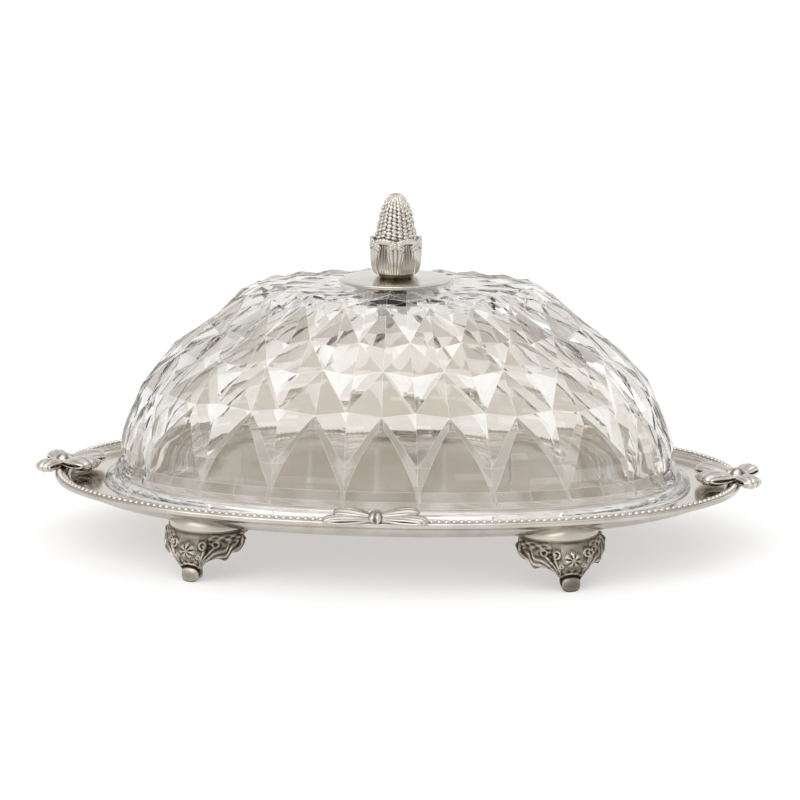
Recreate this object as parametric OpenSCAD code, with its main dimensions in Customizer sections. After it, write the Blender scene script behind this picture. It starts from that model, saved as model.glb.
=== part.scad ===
// Oval cheese dome: a cut-pattern glass cover with a plated finial, on a footed oval tray.
// Millimetres. +Z is up, X runs along the tray, -Y is the front. The origin is on the table
// under the middle of the tray.

/* [Tray] */
// Half length of the bead row on the rim
bead_row_x = 190; // [158:1:230]
// Half width of the bead row on the rim
bead_row_y = 111.5; // [93:0.5:135]
// Squareness of the tray's oval, where 2 is an ellipse
tray_power = 2.17; // [2:0.01:2.4]
// Height of the tray's floor above the table
floor_z = 35.5; // [29:0.5:50]
// Height of the rim's flat top above the floor
rim_rise = 4; // [3:0.25:6]
// Thickness of the cast floor
floor_wall = 2.6; // [2:0.2:3.4]
// Width of the rim outside the bead row
rim_edge = 2.5; // [2:0.25:4]
// Depth of the tray's belly below its floor
belly_drop = 6; // [4.5:0.5:8]
// How far the belly is inside the bead row at the ends
belly_inset_x = 24; // [16:1:30]
// How far the belly is inside the bead row at the front
belly_inset_y = 8; // [6:1:12]

/* [Bead border and bows] */
// Diameter of the bead wire
bead_d = 3.4; // [2.6:0.2:4.4]
// Length of a bow along the rim
bow_length = 56; // [44:1:66]
// How far a bow reaches outside the bead row
bow_out = 10.5; // [8:0.5:14]
// Gap between a bow and the edge of the glass
bow_gap = 3; // [2:0.5:5]
// Height of a bow above the rim
bow_height = 7; // [5:0.5:9]
// Width of the bow's ribbon
ribbon_width = 11; // [8:0.5:14]
// Thickness of the bow's ribbon
ribbon_wall = 1.5; // [1.2:0.1:2.2]

/* [Feet] */
// Angle round the oval of a foot, from the tray's end
foot_bearing = 54.5; // [45:0.5:62]
// How far the middle of a foot's collar is inside the belly's edge
foot_inset = 13; // [12:0.5:18]
// Radius of the collar between foot and tray
collar_r = 22; // [19:0.5:25]
// Thickness of the collar
collar_thick = 5; // [4:0.5:7]
// How far the toe stands out from the collar's centre
toe_reach = 19; // [16:0.5:24]
// Radius of the rounded toe
toe_r = 5.5; // [4.5:0.5:7]
// Diameter of the screw that holds a foot
foot_screw_d = 4; // [3:0.5:5]

/* [Glass dome] */
// Number of diamonds around the dome
columns = 20; // [16:2:24]
// Gap between the bead row and the glass at the ends
dome_gap_end = 25.5; // [20:0.5:40]
// Gap between the bead row and the glass at the front and back
dome_gap_side = 15.5; // [14:0.5:25]
// Squareness of the dome's oval at its base, where 2 is an ellipse
dome_power = 2.3; // [2:0.01:2.4]
// Height of the glass from the tray's floor to its top
dome_h = 111.5; // [95:0.5:130]
// Thickness of the glass behind the diamonds' corners
glass_wall = 4.5; // [3.5:0.25:6]
// Height of each diamond's raised middle over its corners
diamond_rise = 4; // [2:0.25:5.5]
// Width of the foot flange outside the dome's wall
flange_w = 8; // [4:0.5:9]
// Thickness of the foot flange
flange_thick = 2.6; // [2:0.2:4]
// Width of the bevel along each arch
arch_bevel = 4.5; // [3:0.5:6]
// Gap between the glass and the tray's floor
dome_rest_gap = 0.05; // [0.02:0.01:0.2]

/* [Finial] */
// Radius of the polished plate under the finial
plate_r = 30.5; // [27:0.5:34]
// Thickness of the plate
plate_thick = 1.6; // [1.2:0.2:3]
// Height of the finial above its plate
finial_h = 47.5; // [38:0.5:56]
// Largest radius of the finial's leaf cup
finial_r = 14.5; // [12:0.5:17]
// Diameter of the threaded stud
stud_d = 5; // [4:0.5:6]
// Thickness of each gasket
gasket_thick = 0.9; // [0.6:0.1:1.5]
// Thickness of the washer under the nut
washer_thick = 1.2; // [1:0.1:2]

/* [Hidden] */

// Clearance of a screw or stud in a drilled hole, on the radius
hole_play = 0.2;
// Number of points around the tray and around each column of the dome's wall
tray_points = 96;
eps = 0.01;

// Heights through the stack, from the table up
rim_z = floor_z + rim_rise;
belly_z = floor_z - belly_drop;
belly_x = bead_row_x - belly_inset_x;
belly_y = bead_row_y - belly_inset_y;
collar_z = belly_z - collar_thick;
glass_z = floor_z + dome_rest_gap;
glass_top_z = glass_z + dome_h;
plate_z = glass_top_z + gasket_thick;
plate_top_z = plate_z + plate_thick;
glass_roof = glass_wall + 2.5;
roof_z = glass_top_z - glass_roof;
washer_z = roof_z - gasket_thick - washer_thick;
nut_z = washer_z - 1.1 * stud_d;

// Half length and half width of the dome's wall at its base, inside the foot flange
dome_x = bead_row_x - dome_gap_end - flange_w;
dome_y = bead_row_y - dome_gap_side - flange_w;

plated = [0.80, 0.78, 0.75];
antique = [0.62, 0.58, 0.53];
clear_glass = [0.90, 0.92, 0.90, 0.45];
seal = [0.85, 0.84, 0.80];

// ---- Ovals ----
// A point of the oval |x/a|^p + |y/b|^p = 1 at angle t.
function oval(a, b, p, t) = [
    a * sign(cos(t)) * pow(abs(cos(t)), 2 / p),
    b * sign(sin(t)) * pow(abs(sin(t)), 2 / p)];

// Length along the oval against angle, starting at the front and going towards +X.
function oval_lengths(a, b, p, steps = 144) = [
    for (i = 0, s = 0; i <= steps;
         s = s + norm(oval(a, b, p, 270 + 360 * (i + 1) / steps) - oval(a, b, p, 270 + 360 * i / steps)),
         i = i + 1)
    [s, 270 + 360 * i / steps]];

// Points at the given shares of the oval's length, lifted to height z.
function oval_ring(a, b, p, z, shares) =
    let (table = oval_lengths(a, b, p), total = table[len(table) - 1][0])
    [for (f = shares)
        let (w = f - floor(f), q = oval(a, b, p, lookup(w * total, table)))
        [q[0], q[1], z]];

function even_shares(count) = [for (i = [0:count - 1]) i / count];
function flat_list(lists) = [for (l = lists) for (v = l) v];

// A solid through closed rings with equal numbers of points, capped at both ends. Looking from
// the first ring towards the last, each ring runs anticlockwise.
module loft(rings) {
    n = len(rings[0]);
    last = (len(rings) - 1) * n;
    polyhedron(
        points = flat_list(rings),
        faces = concat(
            [[for (i = [n - 1:-1:0]) i]],
            [for (r = [0:n:last - n], i = [0:n - 1])
                [r + i, r + (i + 1) % n, r + n + (i + 1) % n]],
            [for (r = [0:n:last - n], i = [0:n - 1])
                [r + i, r + n + (i + 1) % n, r + n + i]],
            [[for (i = [0:n - 1]) last + i]]));
}

// ---- Tray ----
// One ring of the tray: inset from the bead row along X and Y, at height z.
function tray_ring(inset_x, inset_y, z) =
    oval_ring(bead_row_x - inset_x, bead_row_y - inset_y, tray_power, z, even_shares(tray_points));

// The corners where the four feet are, as signs of X and Y, starting at the front right.
corners = [[1, -1], [1, 1], [-1, 1], [-1, -1]];

// The middle of each collar lies on an oval inside the belly's edge, and its foot faces along
// that oval's normal, turned from the front towards the end.
foot_oval = [belly_x - foot_inset, belly_y - foot_inset];
foot_at = oval(foot_oval[0], foot_oval[1], tray_power, foot_bearing);
foot_turn = atan2(
    pow(foot_at[0], tray_power - 1) / pow(foot_oval[0], tray_power),
    pow(foot_at[1], tray_power - 1) / pow(foot_oval[1], tray_power));

module tray() {
    rim_lip = 1;
    rim_flat = 3.2;
    apron_w = 3;
    boss_r = 12;
    inner_x = belly_inset_x + apron_w;
    inner_y = belly_inset_y + apron_w;
    color(plated) difference() {
        union() {
            loft([
                tray_ring(rim_flat + 4, rim_flat + 4, floor_z),
                tray_ring(rim_flat + 2.6, rim_flat + 2.6, floor_z + 0.5),
                tray_ring(rim_flat + 1.6, rim_flat + 1.6, rim_z - 1.2),
                tray_ring(rim_flat + 0.5, rim_flat + 0.5, rim_z - 0.9),
                tray_ring(rim_flat, rim_flat, rim_z),
                tray_ring(rim_lip - rim_edge, rim_lip - rim_edge, rim_z),
                tray_ring(0.2 - rim_edge, 0.2 - rim_edge, rim_z - 0.6),
                tray_ring(-rim_edge, -rim_edge, rim_z - 1.6),
                tray_ring(0.3 - rim_edge, 0.3 - rim_edge, rim_z - 2.8),
                tray_ring(0.20 * belly_inset_x, 0.15 * belly_inset_y, belly_z + 0.58 * (rim_z - belly_z)),
                tray_ring(0.55 * belly_inset_x, 0.45 * belly_inset_y, belly_z + 0.22 * (rim_z - belly_z)),
                tray_ring(0.85 * belly_inset_x, 0.80 * belly_inset_y, belly_z + 0.04 * (rim_z - belly_z)),
                tray_ring(belly_inset_x, belly_inset_y, belly_z),
                tray_ring(inner_x, inner_y, belly_z),
                tray_ring(inner_x + 1, inner_y + 1, floor_z - floor_wall)]);
            for (c = corners)
                translate([c[0] * foot_at[0], c[1] * foot_at[1], belly_z])
                    cylinder(r = boss_r, h = belly_drop - floor_wall + eps, $fn = 48);
        }
        for (c = corners)
            translate([c[0] * foot_at[0], c[1] * foot_at[1], belly_z - eps])
                cylinder(d = foot_screw_d, h = belly_drop - 2 + eps, $fn = 32);
    }
}

// ---- Bead border ----
// Half-round bead wire between two bows; start and end are shares of the way round the rim.
module bead_border(quarter) {
    sides = 7;
    steps = 28;
    table = oval_lengths(bead_row_x, bead_row_y, tray_power);
    gap = 0.5 * bow_length / table[len(table) - 1][0];
    path = oval_ring(bead_row_x, bead_row_y, tray_power, rim_z,
        [for (i = [0:steps]) 0.25 * quarter + gap + (0.25 - 2 * gap) * i / steps]);
    color(plated) loft([
        for (i = [0:steps])
            let (
                ahead = path[min(i + 1, steps)] - path[max(i - 1, 0)],
                out = [ahead[1], -ahead[0], 0] / norm(ahead))
            [for (k = [0:sides])
                path[i] + bead_d / 2 * (out * -cos(180 * k / sides) + [0, 0, sin(180 * k / sides)])]]);
}

// ---- Bows ----
// Side view of a ribbon loop: a band that runs out to reach, turns over and comes back.
module loop_outline(reach, half_h) {
    translate([-1, -half_h]) square([1 + reach - half_h, 2 * half_h]);
    translate([reach - half_h, 0]) circle(r = half_h, $fn = 32);
}

// One loop of ribbon from the knot towards the point [along, inwards], in the bow's own frame:
// X along the rim, Y inwards, Z up from the rim's top. lift raises the loop at the knot.
module ribbon_loop(along, inwards, lift) {
    reach = norm([along, inwards]);
    half_h = bow_height / 2;
    rotate(atan2(inwards, along)) translate([0, 0, half_h + lift]) rotate([90, 0, 0])
        linear_extrude(ribbon_width, center = true) intersection() {
            translate([0, -half_h]) square([reach, bow_height]);
            difference() {
                loop_outline(reach, half_h);
                loop_outline(reach - ribbon_wall, half_h - ribbon_wall);
            }
        }
}

// A bow of four loops, two outwards and two inwards, around a knot that sits on the rim.
module bow(turn, distance, glass_gap) {
    corner = 0.25 * ribbon_width;
    along = bow_length / 2 - corner;
    color(plated) translate([0, 0, rim_z]) rotate(turn) translate([0, -distance, 0]) {
        for (s = [-1, 1]) {
            ribbon_loop(s * along, -(bow_out - corner), 0.1 + 0.1 * s);
            ribbon_loop(s * along, glass_gap - bow_gap - corner, 0.65 + 0.15 * s);
        }
        cylinder(r = 0.55 * ribbon_width, h = bow_height + 1.1, $fn = 32);
    }
}

// ---- Feet ----
// Places its children at one corner, with -Y pointing the way the foot faces.
module at_foot(corner) {
    turn = corner[1] < 0 ? corner[0] * foot_turn : 180 - corner[0] * foot_turn;
    translate([corner[0] * foot_at[0], corner[1] * foot_at[1], 0]) rotate(turn) children();
}

module collar(corner) {
    round = 1.2;
    color(plated) at_foot(corner) translate([0, 0, collar_z]) difference() {
        rotate_extrude($fn = 72) union() {
            square([collar_r - round, collar_thick]);
            translate([0, round]) square([collar_r, collar_thick - 2 * round]);
            translate([collar_r - round, round]) circle(r = round, $fn = 24);
            translate([collar_r - round, collar_thick - round]) circle(r = round, $fn = 24);
        }
        translate([0, 0, -eps]) cylinder(r = foot_screw_d / 2 + hole_play, h = collar_thick + 2 * eps, $fn = 32);
    }
}

// Cast foot: a plate under the collar, a curved crown with two leaf wings, and a leg to the toe.
module foot(corner) {
    plate = 3;
    wing_r = collar_r + 1.5;
    crown_h = 0.29 * collar_z;
    wing_h = 0.37 * collar_z;
    color(antique) at_foot(corner) difference() {
        union() {
            translate([0, 0, collar_z - plate]) cylinder(r = collar_r - 0.5, h = plate, $fn = 64);
            rotate(-90 - 72) rotate_extrude(angle = 144, $fn = 72)
                translate([collar_r - 5, collar_z - crown_h]) square([wing_r - collar_r + 5, crown_h]);
            rotate(-90 - 50) rotate_extrude(angle = 100, $fn = 72)
                translate([collar_r - 4, collar_z - crown_h - wing_h]) square([4, wing_h + eps]);
            hull() {
                translate([0, -collar_r + 2, collar_z - 6]) sphere(r = 5.5, $fn = 24);
                translate([-9, -collar_r + 3, collar_z - 5]) sphere(r = 3.5, $fn = 24);
                translate([9, -collar_r + 3, collar_z - 5]) sphere(r = 3.5, $fn = 24);
                translate([0, -toe_reach + 1, toe_r + 4]) sphere(r = toe_r - 0.6, $fn = 24);
            }
            translate([0, -toe_reach, 0]) intersection() {
                translate([0, 0, toe_r]) sphere(r = toe_r + 0.4, $fn = 36);
                translate([-2 * toe_r, -2 * toe_r, 0]) cube([4 * toe_r, 4 * toe_r, 4 * toe_r]);
            }
        }
        translate([0, 0, collar_z - plate - eps])
            cylinder(r = foot_screw_d / 2 + hole_play, h = plate + 2 * eps, $fn = 32);
    }
}

module foot_screws() {
    plate = 3;
    head_h = 2.4;
    color("silver") for (c = corners) translate([c[0] * foot_at[0], c[1] * foot_at[1], collar_z - plate]) {
        translate([0, 0, -head_h]) cylinder(r = foot_screw_d * 0.95, h = head_h, $fn = 32);
        cylinder(d = foot_screw_d - 0.04, h = plate + collar_thick + belly_drop - 2.5, $fn = 32);
    }
}

// ---- Glass dome ----
// Rows of diamond corners, from the tips over the skirt up to the petals, and last the fullest
// line of the petals: share of the dome's height, and share of the way in from the base wall
// to the top ring.
rows = [[0.12, 0.02], [0.47, 0.13], [0.65, 0.27], [0.77, 0.42], [0.92, 0.56], [0.985, 0.62]];
top_ring_r = plate_r - 1.5;
column_pitch = 1 / columns;

// One point of the dome: share s of the way round, row height h and inset i as shares, pushed
// out by rise along the wall's normal.
function dome_ring(h, i, rise, shares) =
    let (
        slope = 20 + 60 * h,
        a = dome_x + (top_ring_r - dome_x) * i + rise * cos(slope),
        b = dome_y + (top_ring_r - dome_y) * i + rise * cos(slope),
        z = glass_z + dome_h * h + rise * sin(slope))
    oval_ring(a, b, dome_power + (2 - dome_power) * h, z, shares);

// A ring of 2 points a column: a corner and a raised middle in turn. Even rows start on a
// corner, odd rows on a middle.
function corner_row(row, corner_first) =
    let (
        shares = even_shares(2 * columns),
        low = dome_ring(rows[row][0], rows[row][1], 0, shares),
        high = dome_ring(rows[row][0], rows[row][1], diamond_rise, shares))
    [for (i = [0:2 * columns - 1]) (i % 2 == 0) == corner_first ? low[i] : high[i]];

// The petals' fullest line: raised over each petal's middle, low between two petals.
function petal_row() =
    let (
        shares = even_shares(2 * columns),
        low = dome_ring(rows[5][0], rows[5][1], -0.4, shares),
        high = dome_ring(rows[5][0], rows[5][1], 0.3 * diamond_rise, shares))
    [for (i = [0:2 * columns - 1]) i % 2 == 0 ? high[i] : low[i]];

// A level of the arched skirt at share t of the way from row 1 down to row 0, with 6 points a
// column: the diamond's lower crease, then the arch's edge, bevel, middle, bevel and edge.
function arch_level(t) =
    let (
        h = rows[1][0] + (rows[0][0] - rows[1][0]) * t,
        i = rows[1][1] + (rows[0][1] - rows[1][1]) * sin(90 * t),
        w = 0.5 * pow(t, 0.82),
        bevel = min(0.6 * w, arch_bevel / (2 * dome_x * column_pitch * PI)),
        shares = flat_list([for (k = [0:columns - 1])
            [k - 0.5, k - w, k - w + bevel, k, k + w - bevel, k + w] * column_pitch]),
        low = dome_ring(h, i, 0, shares),
        mid = dome_ring(h, i, 0.45 * diamond_rise, shares),
        high = dome_ring(h, i, diamond_rise * (1 - t), shares))
    [for (j = [0:6 * columns - 1])
        j % 6 == 0 ? high[j] : (j % 6 == 1 || j % 6 == 5) ? low[j] : mid[j]];

// A level of the plain skirt with 4 points a column: the seam under a tip, bevel, middle, bevel.
function skirt_level(h, i, rise) =
    let (
        bevel = arch_bevel / (2 * dome_x * column_pitch * PI),
        shares = flat_list([for (k = [0:columns - 1])
            [k - 0.5, k - 0.5 + bevel, k, k + 0.5 - bevel] * column_pitch]),
        low = dome_ring(h, i, 0, shares),
        mid = dome_ring(h, i, rise, shares))
    [for (j = [0:4 * columns - 1]) j % 4 == 0 ? low[j] : mid[j]];

// A smooth ring that follows the skirt's points, grown from the wall's base by out at height z.
function foot_ring(out, z) =
    let (bevel = arch_bevel / (2 * dome_x * column_pitch * PI))
    oval_ring(dome_x + out, dome_y + out, dome_power, z, flat_list([for (k = [0:columns - 1])
        [k - 0.5, k - 0.5 + bevel, k, k + 0.5 - bevel] * column_pitch]));

// A smooth ring of the inside, parallel to the wall behind the diamonds' corners.
function inner_ring(h, i) =
    let (
        bevel = arch_bevel / (2 * dome_x * column_pitch * PI),
        shares = flat_list([for (k = [0:columns - 1])
            [k - 0.5, k - 0.5 + bevel, k, k + 0.5 - bevel] * column_pitch]),
        ring = dome_ring(h, i, -glass_wall, shares))
    [for (q = ring) [q[0], q[1], min(q[2], roof_z)]];

// Triangles of a band between two rings of n points that start at p (upper) and q (lower).
function band(p, q, n) = flat_list([for (i = [0:n - 1])
    [[p + i, p + (i + 1) % n, q + (i + 1) % n], [p + i, q + (i + 1) % n, q + i]]]);

module glass_dome() {
    arch_levels = [for (t = [0.12, 0.3, 0.5, 0.7, 0.86]) arch_level(t)];
    inner_path = concat([for (r = [0:4]) rows[r]], [[0.99, 0.72]]);
    n2 = 2 * columns;
    n4 = 4 * columns;
    n6 = 6 * columns;
    top = oval_ring(top_ring_r, top_ring_r, 2, glass_top_z, even_shares(n2));
    upper = [
        top, petal_row(), corner_row(4, false), corner_row(3, true), corner_row(2, false),
        corner_row(1, true)];
    lower = concat(
        [skirt_level(rows[0][0], rows[0][1], 0.45 * diamond_rise),
         skirt_level(0.075, -0.01, 0.4 * diamond_rise),
         foot_ring(1.2, glass_z + flange_thick + 1.5),
         foot_ring(3, glass_z + flange_thick + 0.2),
         foot_ring(flange_w - 0.8, glass_z + flange_thick - 0.2),
         foot_ring(flange_w, glass_z + flange_thick - 1),
         foot_ring(flange_w - 0.4, glass_z),
         foot_ring(-glass_wall - 0.5, glass_z)],
        [for (r = inner_path) inner_ring(r[0], r[1])]);
    row_a = (len(upper) - 1) * n2;
    arch_start = len(upper) * n2;
    lower_start = arch_start + len(arch_levels) * n6;
    last_arch = arch_start + (len(arch_levels) - 1) * n6;
    last_ring = lower_start + (len(lower) - 1) * n4;
    faces = concat(
        [[for (i = [n2 - 1:-1:0]) i]],
        // petals and diamonds: every band is split along the line that joins two corners
        [for (r = [0:len(upper) - 2], i = [0:n2 - 1])
            let (a = r * n2 + i, b = r * n2 + (i + 1) % n2, c = b + n2, d = a + n2)
            (i + r) % 2 == 1 ? [a, b, d] : [a, b, c]],
        [for (r = [0:len(upper) - 2], i = [0:n2 - 1])
            let (a = r * n2 + i, b = r * n2 + (i + 1) % n2, c = b + n2, d = a + n2)
            (i + r) % 2 == 1 ? [b, c, d] : [a, c, d]],
        // the lowest diamonds and the heads of the arches
        flat_list([for (k = [0:columns - 1])
            let (
                left = row_a + (2 * k - 1 + n2) % n2, star = row_a + 2 * k,
                right = row_a + 2 * k + 1,
                c = arch_start + 6 * k, next = arch_start + (6 * k + 6) % n6)
            [[left, star, c + 1], [left, c + 1, c], [star, c + 2, c + 1], [star, c + 3, c + 2],
             [star, c + 4, c + 3], [star, c + 5, c + 4], [star, right, c + 5], [right, next, c + 5]]]),
        flat_list([for (j = [0:len(arch_levels) - 2])
            band(arch_start + j * n6, arch_start + (j + 1) * n6, n6)]),
        // the arches' springing, where each diamond runs out in a tip
        flat_list([for (k = [0:columns - 1])
            let (
                c = last_arch + 6 * k, next = last_arch + (6 * k + 6) % n6,
                s = lower_start + 4 * k, tip = lower_start + (4 * k + 4) % n4)
            [[c, c + 1, s], [c + 1, c + 2, s + 1], [c + 1, s + 1, s], [c + 2, c + 3, s + 2],
             [c + 2, s + 2, s + 1], [c + 3, c + 4, s + 3], [c + 3, s + 3, s + 2],
             [c + 4, c + 5, tip], [c + 4, tip, s + 3], [c + 5, next, tip]]]),
        flat_list([for (j = [0:len(lower) - 2])
            band(lower_start + j * n4, lower_start + (j + 1) * n4, n4)]),
        [[for (i = [0:n4 - 1]) last_ring + i]]);
    color(clear_glass) difference() {
        polyhedron(points = flat_list(concat(upper, arch_levels, lower)), faces = faces);
        translate([0, 0, roof_z - 1])
            cylinder(r = stud_d / 2 + 3 * hole_play, h = glass_roof + 2, $fn = 32);
    }
}

// ---- Finial and its fixing ----
module finial_plate() {
    crown = 0.5;
    color(plated) translate([0, 0, plate_z]) rotate_extrude($fn = 96) difference() {
        union() {
            translate([0, 0.2]) square([plate_r, plate_thick - crown - 0.2]);
            square([plate_r - 0.6, plate_thick - crown]);
            square([plate_r - 3, plate_thick]);
        }
        translate([-1, -1]) square([1 + stud_d / 2 + hole_play, plate_thick + 2]);
    }
}

// Turned core of the finial: leaf cup, waist and cone, tapped for the stud.
module finial() {
    cup_h = 0.42 * finial_h;
    color(plated) translate([0, 0, plate_top_z]) difference() {
        rotate_extrude($fn = 64) polygon([
            [0, 0], [0.72 * finial_r, 0], [0.90 * finial_r, 0.10 * finial_h], [finial_r, 0.26 * finial_h],
            [0.98 * finial_r, 0.38 * finial_h], [0.80 * finial_r, cup_h], [0.76 * finial_r, 0.55 * finial_h],
            [0.63 * finial_r, 0.72 * finial_h], [0.44 * finial_r, 0.88 * finial_h],
            [0.26 * finial_r, 0.965 * finial_h], [0.1 * finial_r, finial_h], [0, finial_h]]);
        translate([0, 0, -eps]) cylinder(d = stud_d, h = 14 + eps, $fn = 32);
    }
}

module finial_stud() {
    color("silver") translate([0, 0, nut_z + 1.5])
        cylinder(d = stud_d - 0.04, h = plate_top_z + 13 - nut_z - 1.5, $fn = 32);
}

// A flat ring around the stud.
module stud_ring(outer_r, z, thick) {
    translate([0, 0, z]) difference() {
        cylinder(r = outer_r, h = thick, $fn = 64);
        translate([0, 0, -eps]) cylinder(r = stud_d / 2 + hole_play, h = thick + 2 * eps, $fn = 32);
    }
}

module upper_gasket() {
    color(seal) stud_ring(0.75 * plate_r, glass_top_z, gasket_thick);
}

module lower_gasket() {
    color(seal) stud_ring(2.6 * stud_d, roof_z - gasket_thick, gasket_thick);
}

module stud_washer() {
    color("silver") stud_ring(2.4 * stud_d, washer_z, washer_thick);
}

module cap_nut() {
    across = 1.6 * stud_d;
    color("silver") translate([0, 0, nut_z]) difference() {
        union() {
            cylinder(d = across / cos(30), h = 1.1 * stud_d, $fn = 6);
            sphere(d = across * 0.94, $fn = 32);
        }
        translate([0, 0, 1.4]) cylinder(d = stud_d, h = 1.1 * stud_d, $fn = 32);
    }
}

tray();
bead_border(0);  // bead_border_front_right
bead_border(1);  // bead_border_back_right
bead_border(2);  // bead_border_back_left
bead_border(3);  // bead_border_front_left
bow(0, bead_row_y, dome_gap_side);  // bow_front
bow(90, bead_row_x, dome_gap_end);  // bow_right
bow(180, bead_row_y, dome_gap_side);  // bow_back
bow(270, bead_row_x, dome_gap_end);  // bow_left
collar(corners[0]);  // collar_front_right
collar(corners[1]);  // collar_back_right
collar(corners[2]);  // collar_back_left
collar(corners[3]);  // collar_front_left
foot(corners[0]);  // foot_front_right
foot(corners[1]);  // foot_back_right
foot(corners[2]);  // foot_back_left
foot(corners[3]);  // foot_front_left
foot_screws();
glass_dome();
finial_plate();
finial();
finial_stud();
upper_gasket();
lower_gasket();
stud_washer();
cap_nut();
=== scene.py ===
import math

import bpy
import numpy as np
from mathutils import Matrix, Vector


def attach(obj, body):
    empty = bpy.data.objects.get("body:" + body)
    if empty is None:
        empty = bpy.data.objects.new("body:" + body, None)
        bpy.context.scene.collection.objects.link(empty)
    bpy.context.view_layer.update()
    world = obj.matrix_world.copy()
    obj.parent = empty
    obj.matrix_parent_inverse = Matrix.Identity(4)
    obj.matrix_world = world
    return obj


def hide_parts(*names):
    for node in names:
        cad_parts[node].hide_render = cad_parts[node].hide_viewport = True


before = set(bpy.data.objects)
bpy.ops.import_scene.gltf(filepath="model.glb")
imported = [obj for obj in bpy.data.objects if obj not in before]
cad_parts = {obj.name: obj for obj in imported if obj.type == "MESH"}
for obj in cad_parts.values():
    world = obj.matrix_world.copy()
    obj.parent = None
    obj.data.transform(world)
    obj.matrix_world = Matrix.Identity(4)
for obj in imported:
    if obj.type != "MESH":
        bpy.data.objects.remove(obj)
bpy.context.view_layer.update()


# ---- The studio ----
# The dome stands on a wide opal sheet that glows a little, in a white tent. Soft boxes light it
# from overhead, the front left and behind at the right, and a large dish from high at the front.


class Flow:
    """One output of a node. Python's operators on it add the Math nodes that do the sum."""

    def __init__(self, mix, socket):
        self.mix, self.socket = mix, socket

    def maths(self, operation, first, second):
        return self.mix.node("Math", {"operation": operation}, {0: first, 1: second})

    def __add__(self, other):
        return self.maths("ADD", self, other)

    def __sub__(self, other):
        return self.maths("SUBTRACT", self, other)

    def __rsub__(self, other):
        return self.maths("SUBTRACT", other, self)

    def __mul__(self, other):
        return self.maths("MULTIPLY", self, other)

    __radd__, __rmul__ = __add__, __mul__


class Mix:
    """The node tree of a material or of the world."""

    def __init__(self, owner):
        owner.use_nodes = True
        self.tree = owner.node_tree
        self.tree.nodes.clear()

    def node(self, kind, settings=(), sockets=(), output=0):
        """Adds a node: its settings first, then a value or a link for each of its sockets."""
        made = self.tree.nodes.new("ShaderNode" + kind)
        for key, value in dict(settings).items():
            if key == "stops":
                ramp = made.color_ramp.elements
                ramp[0].position, ramp[1].position = value[0][0], value[-1][0]
                for place, _ in value[1:-1]:
                    ramp.new(place)
                for stop, (_, grey) in zip(ramp, value):
                    stop.color = (grey, grey, grey, 1)
            else:
                setattr(made, key, value)
        for key, value in dict(sockets).items():
            if isinstance(value, Flow):
                self.tree.links.new(value.socket, made.inputs[key])
            else:
                made.inputs[key].default_value = value
        return Flow(self, made.outputs[output]) if len(made.outputs) else None

    def place(self):
        """Where a point of the surface lies on the object, in metres."""
        return self.node("TexCoord", {}, {}, "Object")

    def surface(self, shader):
        """Ends a material in its shader."""
        self.node("OutputMaterial", {}, {"Surface": shader})

    def noise(self, place, scale, detail=3.0, rough=0.5):
        """Noise of so many features a metre, from 0 to 1."""
        sockets = {"Vector": place, "Scale": scale, "Detail": detail, "Roughness": rough}
        return self.node("TexNoise", {}, sockets)

    def spread(self, value, low, high, start, end):
        """value taken from the range low..high to start..end, and held there."""
        sockets = {0: value, 1: low, 2: high, 3: start, 4: end}
        return self.node("MapRange", {"interpolation_type": "SMOOTHSTEP"}, sockets)

    def blend(self, share, first, second):
        """The first colour where share is 0 and the second where it is 1."""
        return self.node("Mix", {"data_type": "RGBA"}, {0: share, 6: first, 7: second}, 2)

    def bump(self, height, depth, normal=None):
        """A relief of so many metres for a height of 1."""
        sockets = {"Height": height, "Distance": depth}
        return self.node("Bump", {}, sockets | ({"Normal": normal} if normal else {}))


scene = bpy.context.scene
scene.view_settings.view_transform = "Standard"
scene.cycles.use_denoising = True
scene.cycles.max_bounces = 20
scene.cycles.transmission_bounces = 16
scene.cycles.glossy_bounces = 8
scene.cycles.transparent_max_bounces = 16
scene.cycles.sample_clamp_indirect = 6.0
scene.cycles.blur_glossy = 0.3

azimuth, elevation, distance = math.radians(5.31), math.radians(12.21), 1.3856
aim_right, aim_height = 0.00217, 0.08017
aim = Vector((aim_right * math.cos(azimuth), aim_right * math.sin(azimuth), aim_height))
towards_camera = Vector(
    (math.sin(azimuth) * math.cos(elevation), -math.cos(azimuth) * math.cos(elevation), math.sin(elevation))
)
lens = bpy.data.cameras.new("studio_camera")
lens.lens, lens.sensor_width, lens.clip_start, lens.clip_end = 111.56, 36.0, 0.01, 100.0
camera = bpy.data.objects.new("studio_camera", lens)
camera.location = aim + distance * towards_camera
camera.rotation_euler = (-towards_camera).to_track_quat("-Z", "Y").to_euler()
scene.collection.objects.link(camera)
scene.camera = camera

sheet_half = 25
sheet_mesh = bpy.data.meshes.new("opal_sheet")
sheet_mesh.from_pydata(
    [(x * sheet_half, y * sheet_half, 0) for x, y in ((-1, -1), (1, -1), (1, 1), (-1, 1))], [], [(0, 1, 2, 3)]
)
sheet = bpy.data.objects.new("opal_sheet", sheet_mesh)
scene.collection.objects.link(sheet)
opal_sheet = bpy.data.materials.new("opal_sheet")
mix = Mix(opal_sheet)
place = mix.place()
grain = mix.noise(place, 900.0, 4.0)
shader = mix.node(
    "BsdfPrincipled",
    {},
    {
        "Base Color": mix.blend(grain, (0.57, 0.57, 0.57, 1), (0.60, 0.60, 0.595, 1)),
        "Roughness": 0.9,
        "Emission Color": (1.0, 1.0, 1.0, 1),
        "Emission Strength": 0.40,
        "Normal": mix.bump(grain, 0.00003),
    },
)
mix.surface(shader)
sheet_mesh.materials.append(opal_sheet)

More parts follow.
